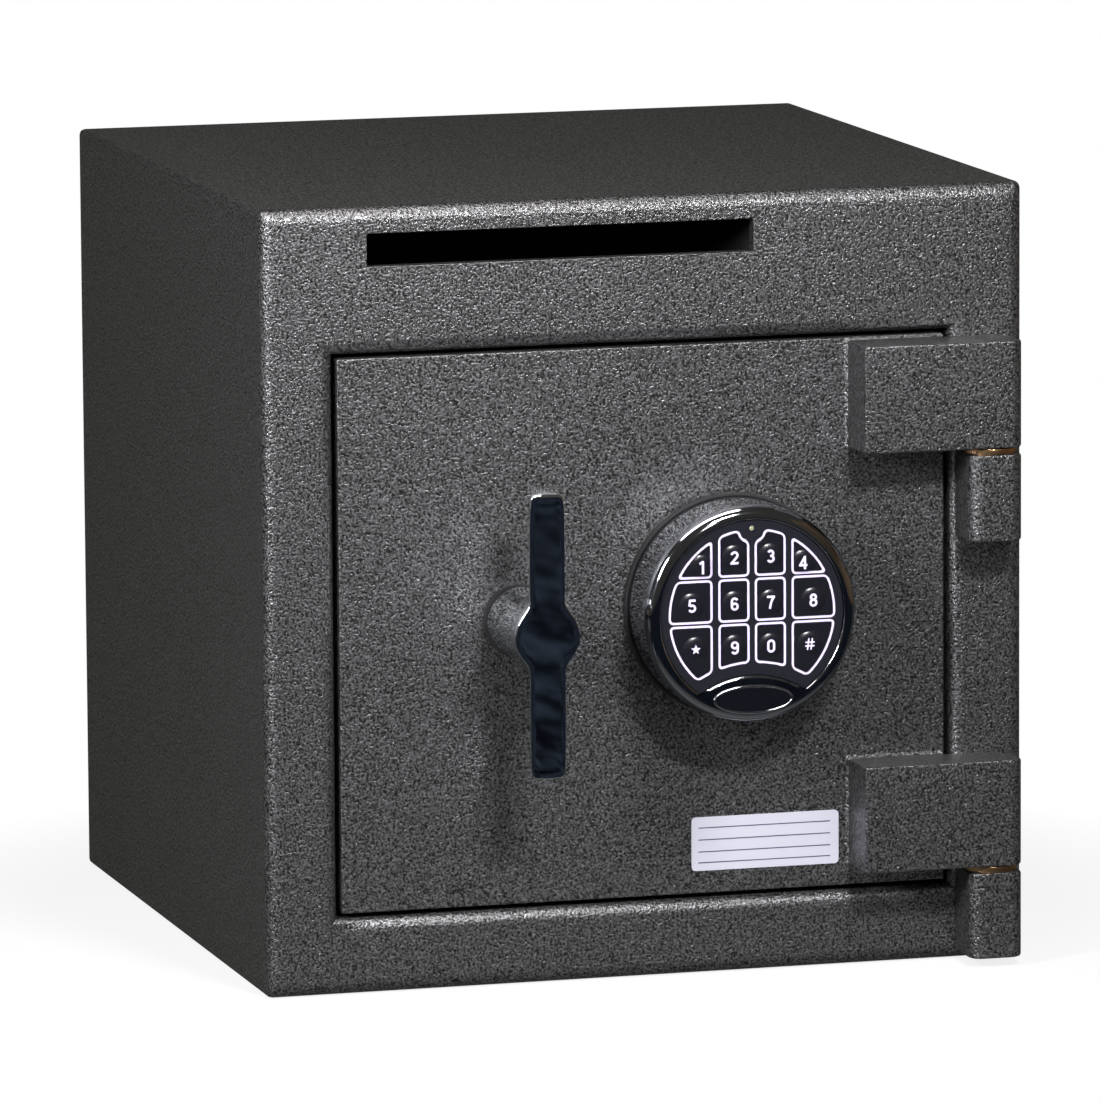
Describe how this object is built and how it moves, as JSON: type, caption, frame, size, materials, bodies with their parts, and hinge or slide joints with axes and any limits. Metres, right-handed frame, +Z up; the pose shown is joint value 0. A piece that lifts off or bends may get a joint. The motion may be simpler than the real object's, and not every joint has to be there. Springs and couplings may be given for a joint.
{
  "type": "drop safe",
  "caption": "Cube-shaped steel drop safe with a front deposit slot, right-hinged door, T-handle boltwork and round electronic keypad.",
  "frame": {"origin": "centre of the body's underside, on the surface the safe stands on", "axes": "+Z up, +Y towards the back plate (the door faces -Y), +X to the right seen from the front (hinge side)"},
  "size_m": [0.3556, 0.4036, 0.3556],
  "materials": {
    "hammered_paint": "charcoal hammertone enamel, glossy",
    "zinc_steel": "zinc plated",
    "chrome": "polished chrome plate",
    "dark_chrome": "dark chrome plated plastic, glossy",
    "brass": "machined",
    "cast_zinc": "die cast, matt",
    "dark_plastic": "satin",
    "badge_plastic": "glossy",
    "lamp_lens": "clear epoxy, unlit",
    "black_rubber": "matt",
    "circuit_board": "solder mask",
    "battery_can": "printed tin",
    "label_foil": "satin film, blank"
  },
  "bodies": {
    "safe_body": {"body_shell": "hammered_paint", "front_frame": "hammered_paint", "back_plate": "hammered_paint", "deposit_chute": "hammered_paint", "anti_fish_comb": "hammered_paint", "anchor_hole_plug": "black_rubber", "hinge_knuckle_upper": "hammered_paint", "hinge_knuckle_lower": "hammered_paint", "hinge_pin_upper": "zinc_steel", "hinge_pin_lower": "zinc_steel", "thrust_washer_upper": "brass", "thrust_washer_lower": "brass"},
    "door": {"door_plate": "hammered_paint", "hinge_leaf_upper": "hammered_paint", "hinge_leaf_lower": "hammered_paint", "dead_bar": "hammered_paint", "bolt_guide": "hammered_paint", "door_cover": "hammered_paint", "cover_screw_1": "zinc_steel", "cover_screw_2": "zinc_steel", "cover_screw_3": "zinc_steel", "cover_screw_4": "zinc_steel", "hard_plate": "zinc_steel", "lock_case": "cast_zinc", "lock_cover": "cast_zinc", "lock_cable": "black_rubber", "carrier_stud_lower": "zinc_steel", "carrier_stud_upper": "zinc_steel", "handle_ring": "black_rubber", "data_label": "label_foil", "keypad_gasket": "black_rubber", "keypad_base": "dark_plastic", "keypad_housing": "dark_chrome", "keypad_faceplate": "dark_plastic", "keypad_badge": "badge_plastic", "keypad_lamp": "lamp_lens", "keypad_board": "circuit_board", "battery": "battery_can"},
    "handle": {"t_handle": "chrome", "handle_spindle": "zinc_steel", "handle_set_screw": "zinc_steel", "bolt_cam": "zinc_steel"},
    "bolts": {"bolt_carrier": "zinc_steel", "locking_bolt_1": "chrome", "locking_bolt_2": "chrome", "locking_bolt_3": "chrome"},
    "lock_bolt": {"lock_bolt": "brass"},
    "battery_door": {"battery_door": "dark_chrome"},
    "key_1": {"key_1": "dark_plastic"},
    "key_2": {"key_2": "dark_plastic"},
    "key_3": {"key_3": "dark_plastic"},
    "key_4": {"key_4": "dark_plastic"},
    "key_5": {"key_5": "dark_plastic"},
    "key_6": {"key_6": "dark_plastic"},
    "key_7": {"key_7": "dark_plastic"},
    "key_8": {"key_8": "dark_plastic"},
    "key_9": {"key_9": "dark_plastic"},
    "key_0": {"key_0": "dark_plastic"},
    "key_star": {"key_star": "dark_plastic"},
    "key_hash": {"key_hash": "dark_plastic"}
  },
  "joints": [
    {"name": "door_swing", "type": "hinge", "parent": "safe_body", "child": "door", "pos_m": [0.1575, -0.1905, 0], "axis": [0, 0, 1], "range_deg": [0, 90]},
    {"name": "handle_turn", "type": "hinge", "parent": "door", "child": "handle", "pos_m": [-0.0603, -0.1778, 0.1663], "axis": [0, -1, 0], "range_deg": [0, 90]},
    {"name": "bolt_throw", "type": "slide", "parent": "door", "child": "bolts", "axis": [-1, 0, 0], "range_m": [0, 0.02]},
    {"name": "lock_bolt_throw", "type": "slide", "parent": "door", "child": "lock_bolt", "axis": [-1, 0, 0], "range_m": [0, 0.012]},
    {"name": "battery_door_slide", "type": "slide", "parent": "door", "child": "battery_door", "axis": [0, 0, -1], "range_m": [0, 0.012]},
    {"name": "press_1", "type": "slide", "parent": "door", "child": "key_1", "axis": [0, 1, 0], "range_m": [0, 0.0007], "stiffness_N_per_m": 500},
    {"name": "press_2", "type": "slide", "parent": "door", "child": "key_2", "axis": [0, 1, 0], "range_m": [0, 0.0007], "stiffness_N_per_m": 500},
    {"name": "press_3", "type": "slide", "parent": "door", "child": "key_3", "axis": [0, 1, 0], "range_m": [0, 0.0007], "stiffness_N_per_m": 500},
    {"name": "press_4", "type": "slide", "parent": "door", "child": "key_4", "axis": [0, 1, 0], "range_m": [0, 0.0007], "stiffness_N_per_m": 500},
    {"name": "press_5", "type": "slide", "parent": "door", "child": "key_5", "axis": [0, 1, 0], "range_m": [0, 0.0007], "stiffness_N_per_m": 500},
    {"name": "press_6", "type": "slide", "parent": "door", "child": "key_6", "axis": [0, 1, 0], "range_m": [0, 0.0007], "stiffness_N_per_m": 500},
    {"name": "press_7", "type": "slide", "parent": "door", "child": "key_7", "axis": [0, 1, 0], "range_m": [0, 0.0007], "stiffness_N_per_m": 500},
    {"name": "press_8", "type": "slide", "parent": "door", "child": "key_8", "axis": [0, 1, 0], "range_m": [0, 0.0007], "stiffness_N_per_m": 500},
    {"name": "press_9", "type": "slide", "parent": "door", "child": "key_9", "axis": [0, 1, 0], "range_m": [0, 0.0007], "stiffness_N_per_m": 500},
    {"name": "press_0", "type": "slide", "parent": "door", "child": "key_0", "axis": [0, 1, 0], "range_m": [0, 0.0007], "stiffness_N_per_m": 500},
    {"name": "press_star", "type": "slide", "parent": "door", "child": "key_star", "axis": [0, 1, 0], "range_m": [0, 0.0007], "stiffness_N_per_m": 500},
    {"name": "press_hash", "type": "slide", "parent": "door", "child": "key_hash", "axis": [0, 1, 0], "range_m": [0, 0.0007], "stiffness_N_per_m": 500}
  ],
  "couplings": [
    {"joint": "bolt_throw", "follows": "handle_turn", "m_per_rad": 0.01273},
    {"joint": "lock_bolt_throw", "follows": "handle_turn", "m_per_rad": 0.00763}
  ]
}
